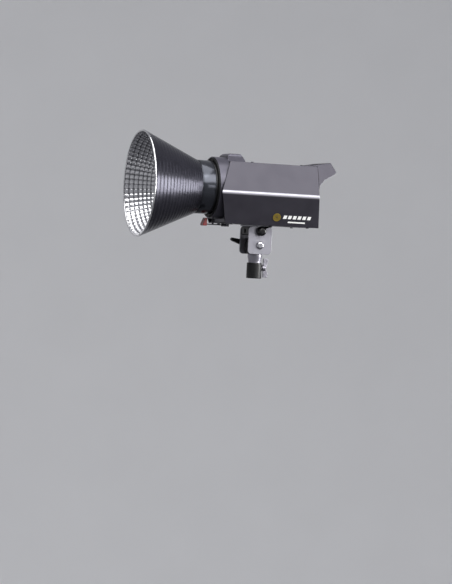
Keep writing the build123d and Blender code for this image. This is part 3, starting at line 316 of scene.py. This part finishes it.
finishLooks = {
    # Satin paint on a die casting, a little coarser than the folded sheet's
    "bezel_paint": ("satinCastingPaint", {"colour": "#43414B", "blotchColour": "#4C4A54", "metallic": 0.5,
                    "roughness": 0.36, "blotch": 18, "grain": 0.9, "depth": 0.03, "wear": 0.9,
                    "wearColour": "#9B99A1"}),
    # Black baked enamel on turned steel
    "mount_black": ("bakedEnamel", {"colour": "#09090A", "blotchColour": "#0E0E10", "metallic": 0.0,
                    "roughness": 0.34, "specular": 0.35, "blotch": 9, "grain": 0.7, "depth": 0.01,
                    "wear": 0.7, "wearColour": "#6B6B70"}),
    # Aluminium plate, brushed upwards and clear anodised; its hairlines are drawn coarser than they are
    "bracket_silver": ("brushedAnodisedAluminium", {"colour": "#8A8990", "blotchColour": "#96959C",
                       "metallic": 0.9, "roughness": 0.42, "blotch": 22, "grain": 0.5, "depth": 0.012,
                       "stretch": (1.0, 1.0, 0.06), "wear": 0.8, "wearColour": "#D9D8DD", "swing": 0.1}),
    # Zinc casting, tumbled and clear lacquered
    "receiver_silver": ("tumbledZinc", {"colour": "#9A98A0", "blotchColour": "#86848C", "metallic": 0.95,
                        "roughness": 0.36, "blotch": 6, "grain": 0.8, "depth": 0.03, "wear": 0.8,
                        "wearColour": "#DAD9DE"}),
    # Polished chrome plating on a steel dome, with faint wiping marks
    "bolt_chrome": ("chromePlating", {"colour": "#D2D1D6", "blotchColour": "#C6C5CB", "metallic": 1.0,
                    "roughness": 0.14, "blotch": 5, "grain": 0.4, "depth": 0.002, "wear": 0.2,
                    "wearColour": "#F0F0F2", "swing": 0.05}),
    # Steel screws and levers, chemically blackened, bare on the corners
    "dark_steel": ("blackenedSteel", {"colour": "#4C4C50", "blotchColour": "#3A3A3E", "metallic": 0.95,
                   "roughness": 0.38, "blotch": 4, "grain": 0.5, "depth": 0.01, "wear": 0.9,
                   "wearColour": "#A8A8AC"}),
    # Rolled and extruded aluminium as it comes from the mill
    "aluminium_raw": ("millAluminium", {"colour": "#C3C3C6", "blotchColour": "#B2B2B6", "metallic": 1.0,
                      "roughness": 0.36, "blotch": 12, "grain": 0.5, "depth": 0.01,
                      "stretch": (0.08, 1.0, 1.0), "wear": 0.3, "wearColour": "#E2E2E4", "swing": 0.08}),
    # ABS moulded against a spark-eroded tool: matt black with a fine grain, paler where hands rub it
    "black_plastic": ("grainedABS", {"colour": "#0D0D0E", "blotchColour": "#121214", "metallic": 0.0,
                      "roughness": 0.45, "specular": 0.35, "blotch": 14, "grain": 0.6, "depth": 0.03,
                      "wear": 0.6, "wearColour": "#38383C"}),
    # Moulded silicone rubber, matt, with a bloom of dust
    "soft_rubber": ("mouldedSilicone", {"colour": "#0C0C0D", "blotchColour": "#141415", "metallic": 0.0,
                    "roughness": 0.68, "specular": 0.3, "blotch": 8, "grain": 0.5, "depth": 0.02, "wear": 0.5,
                    "wearColour": "#303033"}),
    # Heat-proof white enamel on aluminium
    "plate_white": ("whiteEnamel", {"colour": "#D9D7D0", "blotchColour": "#CECBC2", "metallic": 0.0,
                    "roughness": 0.5, "blotch": 10, "grain": 0.7, "depth": 0.015, "wear": 0.3,
                    "wearColour": "#B9B6AE"}),
    # Fired alumina carrying the dies
    "chip_ceramic": ("aluminaCeramic", {"colour": "#DAD8CE", "blotchColour": "#CFCCC1", "metallic": 0.0,
                     "roughness": 0.55, "blotch": 3, "grain": 0.3, "depth": 0.01, "wear": 0.2,
                     "wearColour": "#EFEDE6"}),
    # Acrylic window, printed black behind
    "display_glass": ("blackAcrylic", {"colour": "#0A0B0E", "blotchColour": "#0E1013", "metallic": 0.0,
                      "roughness": 0.08, "blotch": 12, "grain": 2.0, "depth": 0.004, "wear": 0.2,
                      "wearColour": "#2A2B30", "swing": 0.03}),
    # Brass disc, satin brushed and lacquered
    "badge_gold": ("satinBrass", {"colour": "#B29A45", "blotchColour": "#9C8536", "metallic": 0.85,
                   "roughness": 0.36, "blotch": 2.5, "grain": 0.25, "depth": 0.01, "wear": 0.7,
                   "wearColour": "#E3D28A"}),
    # White screen print, a little uneven at its grain
    "mark_white": ("screenPrint", {"colour": "#E8E8E6", "blotchColour": "#D8D8D6", "metallic": 0.0,
                   "roughness": 0.55, "blotch": 1.5, "grain": 0.3, "depth": 0.01, "wear": 0.0,
                   "wearColour": "#FFFFFF"}),
    # ABS coloured through, glossy from a polished tool
    "release_red": ("redABS", {"colour": "#7C1F1D", "blotchColour": "#8A2724", "metallic": 0.0,
                    "roughness": 0.3, "blotch": 5, "grain": 0.6, "depth": 0.01, "wear": 0.6,
                    "wearColour": "#B8605C"}),
}
finish = {slot: grainySurface(*look)[0] for slot, look in finishLooks.items()}
finish["casing_paint"] = casingPaint()
finish["board"] = circuitBoard()
finish["clear_glass"] = clearGlass()
finish["phosphor"] = phosphorGel()
# ABS from a polished tool: glossy black, finely scratched by use
glossFinish = grainySurface("polishedABS", {"colour": "#0A0A0B", "blotchColour": "#111113", "metallic": 0.0,
    "roughness": 0.12, "blotch": 6, "grain": 1.2, "depth": 0.004, "wear": 0.4, "wearColour": "#3A3A3E",
    "swing": 0.04})[0]
# Spun aluminium, graphite anodised outside; spinning marks 0.5 mm apart are drawn at 0.8 mm
finish["reflector_black"] = spunSurface("graphiteAnodising", {"colour": "#2A2A31", "ringColour": "#33323B",
    "metallic": 0.75, "roughness": 0.27, "rings": 0.8, "haze": 25, "depth": 0.006})
neckFinish = spunSurface("glossGraphiteAnodising", {"colour": "#3A3C42", "ringColour": "#44464D",
    "metallic": 0.75, "roughness": 0.2, "rings": 0.6, "haze": 12, "depth": 0.004})
# Rim of the same sheet, rolled over and left bright: nearly a mirror, slightly hazy
mirrorFinish = spunSurface("brightRolledAluminium", {"colour": "#E3E3E4", "ringColour": "#D6D6D8",
    "metallic": 1.0, "roughness": 0.16, "rings": 1.0, "haze": 8, "depth": 0.002})


def facetMirror():
    # Bright aluminium pressed into facets: each a small convex mirror, duller in the creases, where a dark
    # grey is mixed in as painted shade
    material, tree, shader, place = newMaterial("pressedBrightAluminium", "#E8E8EA", 1.0, 0.13)
    rise = addNode(tree, "ShaderNodeAttribute", attribute_name="facetRise").outputs["Fac"]
    flat = addNode(tree, "ShaderNodeMapRange", {"From Min": 0.0, "From Max": 0.5}, {"Value": rise})
    haze = addNode(tree, "ShaderNodeTexNoise", {"Scale": 1 / (7 * mm), "Detail": 4.0}, {"Vector": place})
    bright = addNode(tree, "ShaderNodeMix", {6: linear("#F0F0F2"), 7: linear("#DCDCDE")},
                     {0: haze.outputs["Fac"]}, data_type="RGBA").outputs[2]
    # Painted shade: the creases between facets are mixed toward dark grey
    creaseShaded = addNode(tree, "ShaderNodeMix", {6: linear("#57575D")}, {0: flat.outputs["Result"], 7: bright},
                      data_type="RGBA").outputs[2]
    dull = addNode(tree, "ShaderNodeMapRange", {"To Min": 0.4, "To Max": 0.11},
                   {"Value": flat.outputs["Result"]}).outputs["Result"]
    tree.links.new(creaseShaded, shader.inputs["Base Color"])
    tree.links.new(dull, shader.inputs["Roughness"])
    return material


facetFinish = facetMirror()
print("materials made")

for member in frame["record"]["subparts"]:
    cadNode = nodes[member["node"]]
    if not cadNode.material_slots:
        cadNode.data.materials.append(None)
    for materialSlot in cadNode.material_slots:
        materialSlot.material = finish[member["material_slot"]]
slotOf = {member["node"]: member["material_slot"] for member in frame["record"]["subparts"]}
bodyOf = {name: node["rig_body"] for name, node in nodes.items()}

# Covers, castings and knobs with rounded edges, in millimetres of edge width

edgeWidths = {"left_side_cover": 0.5, "right_side_cover": 0.5, "top_cover": 0.5, "bottom_cover": 0.5,
              "carry_handle": 1.0, "grip_pad": 0.8, "front_bezel": 0.4, "tilt_bracket": 0.5,
              "umbrella_block": 0.7, "umbrella_knob": 0.5, "tilt_lever": 0.7, "spigot_receiver": 0.6,
              "spigot_screw": 0.6, "tilt_knuckle": 0.6, "socket_sleeve": 0.5, "rear_frame": 0.4,
              "intensity_dial": 0.4, "select_dial": 0.4, "menu_button": 0.4, "mode_button": 0.4,
              "preset_button": 0.4, "power_switch": 0.4, "power_inlet": 0.4, "release_lever": 0.3,
              "release_pad": 0.6, "reflector_collar": 0.3}
sharpCorner = 38


def roundedEdges(node, width):
    shape = bmesh.new()
    shape.from_mesh(nodes[node].data)
    bmesh.ops.remove_doubles(shape, verts=shape.verts, dist=0.002 * mm)
    bmesh.ops.dissolve_limit(shape, angle_limit=radians(1), verts=shape.verts, edges=shape.edges)
    mesh = bpy.data.meshes.new(node)
    shape.to_mesh(mesh)
    shape.free()
    holder = bpy.data.objects.new(node + "_edged", mesh)
    scene.collection.objects.link(holder)
    bevel = holder.modifiers.new("edges", "BEVEL")
    bevel.width = width * mm
    bevel.segments = 2
    bevel.limit_method = "ANGLE"
    bevel.angle_limit = radians(sharpCorner)
    bevel.use_clamp_overlap = False
    mesh = settledMesh(holder)
    smoothShade(mesh)
    surface = glossFinish if node == "umbrella_knob" else finish[slotOf[node]]
    piece = newPiece(node + "_edged", mesh, bodyOf[node], surface)
    weighting = piece.modifiers.new("normals", "WEIGHTED_NORMAL")
    weighting.keep_sharp = True
    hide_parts(node)


for node, width in edgeWidths.items():
    roundedEdges(node, width)
print("edges rounded")

# Reflector: facetted lining, ribbed shell, rolled rim and neck, lengths in millimetres

shellLow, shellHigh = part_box("reflector_shell")
neckLow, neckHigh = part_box("reflector_neck")
axisHeight = (shellLow.z + shellHigh.z) / 2
reflector = {"sectors": 64, "rings": 17, "facetSteps": 6, "wall": 0.6, "liningGap": 1.1, "liningWall": 0.3,
             "liningAngle": 25, "bead": 1.7, "beadSteps": 16, "scallop": 0.35, "bandSteps": 6,
             "turnSteps": 180, "groove": 1.4, "grooveDepth": 0.8, "neckWall": 1.2, "neckCurl": 0.4}
facetBulge = 0.011    # height of a facet's middle, as a share of the cone's radius there
domePeak = 1 / 16     # a facet's dome is x(1 - x)y(1 - y), highest in its middle
rimRadius = (shellHigh.z - shellLow.z) / 2
neckRadius = (neckHigh.z - neckLow.z) / 2
coneStart = shellLow.x + reflector["bead"] * mm
coneSlope = (rimRadius - neckRadius) / (shellHigh.x - coneStart)


def facetTree(sizes, material):
    # Rings shrink by a constant ratio, so every facet stays square
    tree, given, result = openTree("facetedCone", sizes)
    counts = [addNode(tree, "ShaderNodeMath", {2: 1.0}, {0: given[label], 1: given["Facet steps"]},
                      operation="MULTIPLY_ADD").outputs[0] for label in ("Sectors", "Rings")]
    grid = addNode(tree, "GeometryNodeMeshGrid", {"Size X": 1.0, "Size Y": 1.0},
                   {"Vertices X": counts[0], "Vertices Y": counts[1]}).outputs["Mesh"]
    flat = addNode(tree, "ShaderNodeSeparateXYZ", None,
                   {0: addNode(tree, "GeometryNodeInputPosition").outputs[0]}).outputs
    shares, domes = [], []
    for label, along in (("Sectors", flat["X"]), ("Rings", flat["Y"])):
        share = addNode(tree, "ShaderNodeMath", {1: 0.5}, {0: along}, operation="ADD").outputs[0]
        place = addNode(tree, "ShaderNodeMath", None, {0: share, 1: given[label]}, operation="MULTIPLY")
        part = addNode(tree, "ShaderNodeMath", None, {0: place.outputs[0]}, operation="FRACT").outputs[0]
        rest = addNode(tree, "ShaderNodeMath", {0: 1.0}, {1: part}, operation="SUBTRACT").outputs[0]
        domes.append(addNode(tree, "ShaderNodeMath", None, {0: part, 1: rest},
                             operation="MULTIPLY").outputs[0])
        shares.append(share)
    dome = addNode(tree, "ShaderNodeMath", None, {0: domes[0], 1: domes[1]}, operation="MULTIPLY").outputs[0]
    ratio = addNode(tree, "ShaderNodeMath", None, {0: given["Throat radius"], 1: given["Rim radius"]},
                    operation="DIVIDE").outputs[0]
    shrink = addNode(tree, "ShaderNodeMath", None, {0: ratio, 1: shares[1]}, operation="POWER").outputs[0]
    radius = addNode(tree, "ShaderNodeMath", None, {0: shrink, 1: given["Rim radius"]},
                     operation="MULTIPLY").outputs[0]
    narrower = addNode(tree, "ShaderNodeMath", None, {0: given["Rim radius"], 1: radius},
                       operation="SUBTRACT").outputs[0]
    inward = addNode(tree, "ShaderNodeMath", None, {0: narrower, 1: given["Slope"]},
                     operation="DIVIDE").outputs[0]
    along = addNode(tree, "ShaderNodeMath", None, {0: inward, 1: given["Rim place"]},
                    operation="ADD").outputs[0]
    raised = addNode(tree, "ShaderNodeMath", None, {0: dome, 1: given["Bulge"]},
                     operation="MULTIPLY").outputs[0]
    lower = addNode(tree, "ShaderNodeMath", {0: 1.0}, {1: raised}, operation="SUBTRACT").outputs[0]
    reach = addNode(tree, "ShaderNodeMath", None, {0: lower, 1: radius}, operation="MULTIPLY").outputs[0]
    turn = addNode(tree, "ShaderNodeMath", {1: 2 * pi}, {0: shares[0]}, operation="MULTIPLY").outputs[0]
    across = addNode(tree, "ShaderNodeMath", None, {0: turn}, operation="COSINE").outputs[0]
    upward = addNode(tree, "ShaderNodeMath", None, {0: turn}, operation="SINE").outputs[0]
    side = addNode(tree, "ShaderNodeMath", None, {0: across, 1: reach}, operation="MULTIPLY").outputs[0]
    height = addNode(tree, "ShaderNodeMath", None, {0: upward, 1: reach, 2: given["Axis height"]},
                     operation="MULTIPLY_ADD").outputs[0]
    point = addNode(tree, "ShaderNodeCombineXYZ", None, {"X": along, "Y": side, "Z": height}).outputs[0]
    rise = addNode(tree, "ShaderNodeMath", {1: 1 / domePeak}, {0: dome}, operation="MULTIPLY").outputs[0]
    marked = addNode(tree, "GeometryNodeStoreNamedAttribute", {"Name": "facetRise"},
                     {"Geometry": grid, "Value": rise}, data_type="FLOAT", domain="POINT").outputs[0]
    shaped = addNode(tree, "GeometryNodeSetPosition", None,
                     {"Geometry": marked, "Position": point}).outputs[0]
    closed = addNode(tree, "GeometryNodeMergeByDistance", {"Distance": 0.01 * mm}, {0: shaped}).outputs[0]
    solid = addNode(tree, "GeometryNodeRealizeInstances", None, {0: closed}).outputs[0]
    painted = addNode(tree, "GeometryNodeSetMaterial", {"Material": material}, {"Geometry": solid}).outputs[0]
    tree.links.new(painted, result)
    return tree


def makeLining():
    gap = reflector["liningGap"] * mm
    sizes = {"Sectors": reflector["sectors"], "Rings": reflector["rings"],
             "Facet steps": reflector["facetSteps"], "Rim radius": rimRadius - gap,
             "Throat radius": neckRadius - gap, "Rim place": coneStart, "Slope": coneSlope,
             "Bulge": facetBulge / domePeak, "Axis height": axisHeight}
    mesh = growMesh("reflectorLining", facetTree(sizes, facetFinish), sizes)
    first = mesh.polygons[0]
    if first.normal.dot(Vector((0, 0, axisHeight)) - Vector((0, first.center.y, first.center.z))) < 0:
        mesh.flip_normals()
    holder = bpy.data.objects.new("reflectorLining", mesh)
    scene.collection.objects.link(holder)
    sheet = holder.modifiers.new("sheet", "SOLIDIFY")
    sheet.thickness = reflector["liningWall"] * mm
    sheet.offset = -1
    mesh = settledMesh(holder)
    smoothShade(mesh, reflector["liningAngle"])
    return newPiece("reflectorLining", mesh, "reflector")


def makeReflectorShell():
    wall, scallop = reflector["wall"] * mm, reflector["scallop"] * mm
    rings, bandSteps = reflector["rings"], reflector["bandSteps"]
    outside = []
    for step in range(rings * bandSteps + 1):
        radius = rimRadius * (neckRadius / rimRadius) ** (step / (rings * bandSteps))
        across = 2 * (step % bandSteps) / bandSteps - 1
        along = coneStart + (rimRadius - radius) / coneSlope
        outside.append((along, radius - scallop * across ** 2))
    inside = [(shellHigh.x, neckRadius - wall), (coneStart, rimRadius - wall)]
    mesh = lathe("reflectorCone", outside + inside, reflector["turnSteps"], axisHeight)
    return newPiece("reflectorCone", mesh, "reflector", finish["reflector_black"])


def makeRim():
    bead, steps = reflector["bead"] * mm, reflector["beadSteps"]
    turns = [2 * pi * step / steps for step in range(steps)]
    profile = [(coneStart + bead * cos(turn), rimRadius - bead + bead * sin(turn)) for turn in turns]
    mesh = lathe("reflectorRim", profile, reflector["turnSteps"], axisHeight)
    return newPiece("reflectorRim", mesh, "reflector", mirrorFinish)


def makeNeck():
    front, back = neckLow.x, neckHigh.x
    inner = neckRadius - reflector["neckWall"] * mm
    floor = neckRadius - reflector["grooveDepth"] * mm
    start = front + reflector["groove"] * mm
    curl = reflector["neckCurl"] * mm
    mid = curl * 0.3
    profile = [(front, inner), (front, floor), (start, floor), (start, neckRadius - curl),
               (start + mid, neckRadius - mid), (start + curl, neckRadius), (back - curl, neckRadius),
               (back - mid, neckRadius - mid), (back, neckRadius - curl), (back, inner)]
    mesh = lathe("reflectorNeck", profile, reflector["turnSteps"], axisHeight)
    piece = newPiece("reflectorNeck", mesh, "reflector", neckFinish)
    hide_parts("reflector_neck")


for part in (makeLining(), makeReflectorShell(), makeRim()):
    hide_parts("reflector_shell")
makeNeck()
print("reflector made")

# Printed marks, ribs and scales, grown from one grid of bars and one ring of bars


def barTree(name, sizes, material, ring):
    tree, given, result = openTree(name, sizes)
    size = addNode(tree, "ShaderNodeCombineXYZ", None,
                   {"X": given["Bar length"], "Y": given["Bar width"], "Z": given["Thickness"]}).outputs[0]
    bar = addNode(tree, "GeometryNodeMeshCube", None, {"Size": size}).outputs["Mesh"]
    if ring:
        points = addNode(tree, "GeometryNodeMeshCircle", None, {"Vertices": given["Count"],
                         "Radius": given["Radius"]}).outputs["Mesh"]
        index = addNode(tree, "GeometryNodeInputIndex").outputs[0]
        step = addNode(tree, "ShaderNodeMath", {0: 2 * pi}, {1: given["Count"]},
                       operation="DIVIDE").outputs[0]
        turn = addNode(tree, "ShaderNodeMath", None, {0: step, 1: index}, operation="MULTIPLY").outputs[0]
        aim = addNode(tree, "ShaderNodeCombineXYZ", None, {"Z": turn}).outputs[0]
        feeds = {"Points": points, "Instance": bar, "Rotation": aim}
    else:
        points = addNode(tree, "GeometryNodeMeshGrid", None, {"Vertices X": given["Columns"],
                         "Vertices Y": given["Rows"], "Size X": given["Spread"],
                         "Size Y": given["Rise"]}).outputs["Mesh"]
        feeds = {"Points": points, "Instance": bar}
    copies = addNode(tree, "GeometryNodeInstanceOnPoints", None, feeds).outputs[0]
    solid = addNode(tree, "GeometryNodeRealizeInstances", None, {0: copies}).outputs[0]
    painted = addNode(tree, "GeometryNodeSetMaterial", {"Material": material}, {"Geometry": solid}).outputs[0]
    tree.links.new(painted, result)
    return tree


def barPiece(name, bars, body, slotName, place):
    # bars is (columns, rows, spread, rise, length, width, thickness) in a grid,
    # or (count, radius, length, width, thickness) in a ring
    ring = len(bars) == 5
    labels = ("Count", "Radius") if ring else ("Columns", "Rows", "Spread", "Rise")
    labels += ("Bar length", "Bar width", "Thickness")
    sizes = {label: value if isinstance(value, int) else value * mm for label, value in zip(labels, bars)}
    tree = barTree(name + "Tree", sizes, finish[slotName], ring)
    return newPiece(name, growMesh(name, tree, sizes, place), body)


printed = 0.12    # thickness of the print, mm


def rearPlace(node, lift=0.0, up=0.0):
    low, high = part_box(node)
    centre = Vector((high.x + lift * mm, (low.y + high.y) / 2, (low.z + high.z) / 2 + up * mm))
    return facing(centre, (0, 1, 0), (0, 0, 1))


dialMarks = {"scale": (40, 11.3, 1.2, 0.35, printed), "pointer": (1, 1, 0.0, 0.0, 1.0, 5.0, printed),
             "flutes": (36, 9.6, 0.5, 0.7, 9.0)}
pointerUp, flutesBack = 6.0, 6.0
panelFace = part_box("rear_frame")[1].x
for dial, body in (("intensity_dial", "intensity"), ("select_dial", "select")):
    place = rearPlace(dial)
    place.translation.x = panelFace + printed * mm / 2
    barPiece(dial + "_scale", dialMarks["scale"], "head", "mark_white", place)
    barPiece(dial + "_pointer", dialMarks["pointer"], body, "mark_white", rearPlace(dial, up=pointerUp))
    barPiece(dial + "_flutes", dialMarks["flutes"], body, "black_plastic", rearPlace(dial, -flutesBack))

# Bars, body, the node they sit on and their height above its middle
panelMarks = {
    "menuLegend": ((1, 3, 0.0, 2.6, 5.0, 0.6, printed), "menu", "menu_button", 0.0),
    "modeLegend": ((8, 1.9, 0.9, 0.5, printed), "mode", "mode_button", 0.0),
    "presetLegend": ((3, 2, 3.6, 1.8, 0.9, 0.9, printed), "preset", "preset_button", 0.0),
    "displayLevels": ((12, 1, 34.0, 0.0, 1.7, 6.0, printed), "head", "display_window", 3.5),
    "displayLines": ((3, 2, 26.0, 4.0, 9.0, 0.8, printed), "head", "display_window", -5.5),
}
for name, (bars, body, node, up) in panelMarks.items():
    barPiece(name, bars, body, "mark_white", rearPlace(node, up=up))

padBars = (1, 4, 0.0, 7.5, 11.0, 0.9, 0.5)
steepness = 0.7    # the pad's front face leans, but still looks mostly forwards


def padRibs():
    front = [face for face in nodes["release_pad"].data.polygons if face.normal.x < -steepness]
    area = sum(face.area for face in front)
    centre = sum((face.center * face.area for face in front), Vector()) / area
    slope = sum((face.normal * face.area for face in front), Vector()).normalized()
    across = Vector((0, -1, 0))
    place = facing(centre, across, slope.cross(across))
    barPiece("padRibs", padBars, "release", "release_red", place)


padRibs()
badgeBars = {"Rays": (12, 4.4, 1.8, 0.6, printed), "Hub": (16, 1.2, 1.0, 1.0, printed)}
flankHeight, flankLean = 57, 18    # the lower flank leans in by so much over its height


def badgeRays(side):
    # A plain sun of rays round a hub on each round badge
    lean = Vector((0, side * flankHeight, -flankLean)).normalized()
    points = [v.co for v in nodes["side_badges"].data.vertices if v.co.y * side > 0]
    centre = sum(points, Vector()) / len(points)
    surface = max(point.dot(lean) for point in points)
    origin = centre + lean * (surface - centre.dot(lean) + printed * mm / 2)
    across = Vector((-side, 0, 0))
    place = facing(origin, across, lean.cross(across))
    label = "left" if side < 0 else "right"
    for kind, bars in badgeBars.items():
        barPiece(label + "Badge" + kind, bars, "head", "dark_steel", place)


badgeRays(-1)
badgeRays(1)
print("marks and ribs made")

# Studio: a pale bowl with a darker floor, four soft lights and a weak fill, in metres

studio = {"floor": -2.2, "hub": 0.5, "flat": 5.0, "curve": 1.8, "wall": 3.4, "cornerSteps": 12,
          "turnSteps": 96, "colour": "#E9E9EA", "paperColour": "#E6E6E7", "fibreColour": "#ECECED",
          "floorColour": "#5C5C60", "darkWithin": 3.2, "paleBeyond": 5.8}


def makeStudio():
    curve, steps = studio["curve"], studio["turnSteps"]
    bends = [pi / 2 * step / studio["cornerSteps"] for step in range(studio["cornerSteps"] + 1)]
    corner = [(studio["flat"] + curve * sin(bend), studio["floor"] + curve * (1 - cos(bend)))
              for bend in bends]
    profile = [(studio["hub"], studio["floor"])] + corner + [(corner[-1][0], corner[-1][1] + studio["wall"])]
    verts = [(radius * cos(2 * pi * turn / steps), radius * sin(2 * pi * turn / steps), height)
             for radius, height in profile for turn in range(steps)]
    faces = [(ring * steps + turn, ring * steps + (turn + 1) % steps,
              (ring + 1) * steps + (turn + 1) % steps, (ring + 1) * steps + turn)
             for ring in range(len(profile) - 1) for turn in range(steps)]
    faces.append(tuple(range(steps)))
    mesh = bpy.data.meshes.new("studioFloor")
    mesh.from_pydata(verts, [], faces)
    mesh.shade_smooth()
    material, tree, shader, place = newMaterial("paperSweep", studio["colour"], 0.0, 0.9)
    fibre = addNode(tree, "ShaderNodeTexNoise", {"Scale": 3.0, "Detail": 5.0}, {"Vector": place})
    shade = addNode(tree, "ShaderNodeMix", {6: linear(studio["paperColour"]),
                    7: linear(studio["fibreColour"])}, {0: fibre.outputs["Fac"]}, data_type="RGBA")
    # The floor under the lamp is darker than the wall, as the ground is in the photo
    reach = addNode(tree, "ShaderNodeVectorMath", None, {0: place}, operation="LENGTH").outputs["Value"]
    outward = addNode(tree, "ShaderNodeMapRange", {"From Min": studio["darkWithin"],
                      "From Max": studio["paleBeyond"]}, {"Value": reach})
    paper = addNode(tree, "ShaderNodeMix", {6: linear(studio["floorColour"])},
                    {0: outward.outputs["Result"], 7: shade.outputs[2]}, data_type="RGBA")
    tree.links.new(paper.outputs[2], shader.inputs["Base Color"])
    mesh.materials.append(material)
    floor = bpy.data.objects.new("studioFloor", mesh)
    scene.collection.objects.link(floor)


lampCentre = Vector((0, 0, axisHeight - 10 * mm))
worldColour, worldStrength = "#E4E6EE", 0.38
# Direction from the lamp; distance, width and height in metres; radiance
lights = {
    "flankBox": ((0.30, -0.75, 0.58), 2.6, 2.8, 1.5, 5.4),
    "overheadBox": ((-0.15, -0.25, 0.95), 2.4, 2.8, 2.8, 3.6),
    "rearBox": ((0.91, -0.38, 0.0), 2.2, 0.8, 1.0, 19.0),
    "lowStrip": ((0.37, -0.91, 0.07), 2.6, 1.2, 0.22, 6.0),
}


def makeLights():
    for name, (direction, distance, width, height, radiance) in lights.items():
        lamp = bpy.data.lights.new(name, "AREA")
        lamp.shape = "RECTANGLE"
        lamp.size = width
        lamp.size_y = height
        lamp.energy = radiance * pi * width * height
        source = bpy.data.objects.new(name, lamp)
        aim = Vector(direction).normalized()
        source.location = lampCentre + aim * distance
        source.rotation_euler = aim.to_track_quat("Z", "Y").to_euler()
        source.visible_camera = False
        scene.collection.objects.link(source)
    world = bpy.data.worlds.new("studioFill")
    world.use_nodes = True
    sky = world.node_tree.nodes["Background"]
    sky.inputs["Color"].default_value = linear(worldColour)
    sky.inputs["Strength"].default_value = worldStrength
    scene.world = world


makeStudio()
makeLights()
scene.view_settings.view_transform = "Standard"

# Camera: low on the lamp's left, a little in front, with the horizon tipped

view = {"target": (0.0, 0.0, 0.153), "azimuth": -20.41, "elevation": -1.48, "roll": 2.94, "distance": 4.0,
        "lens": 170.95, "aside": 0.0594, "below": 0.1784}


def makeCamera():
    azimuth, elevation, roll = (radians(view[key]) for key in ("azimuth", "elevation", "roll"))
    outward = Vector((sin(azimuth) * cos(elevation), -cos(azimuth) * cos(elevation), sin(elevation)))
    level = (-outward).cross(Vector((0, 0, 1))).normalized()
    upright = level.cross(-outward)
    right = level * cos(roll) + upright * sin(roll)
    up = upright * cos(roll) - level * sin(roll)
    position = Vector(view["target"]) + outward * view["distance"]
    aim = Vector(view["target"]) - right * view["aside"] - up * view["below"]
    back = (position - aim).normalized()
    right = (right - back * right.dot(back)).normalized()
    lens = bpy.data.cameras.new("camera")
    lens.lens = view["lens"]
    lens.sensor_width = 36
    lens.sensor_fit = "HORIZONTAL"
    lens.clip_end = 60
    camera = bpy.data.objects.new("camera", lens)
    turn = Matrix((right, back.cross(right), back)).transposed().to_4x4()
    camera.matrix_world = Matrix.Translation(position) @ turn
    scene.collection.objects.link(camera)
    scene.camera = camera


makeCamera()
print("studio made")
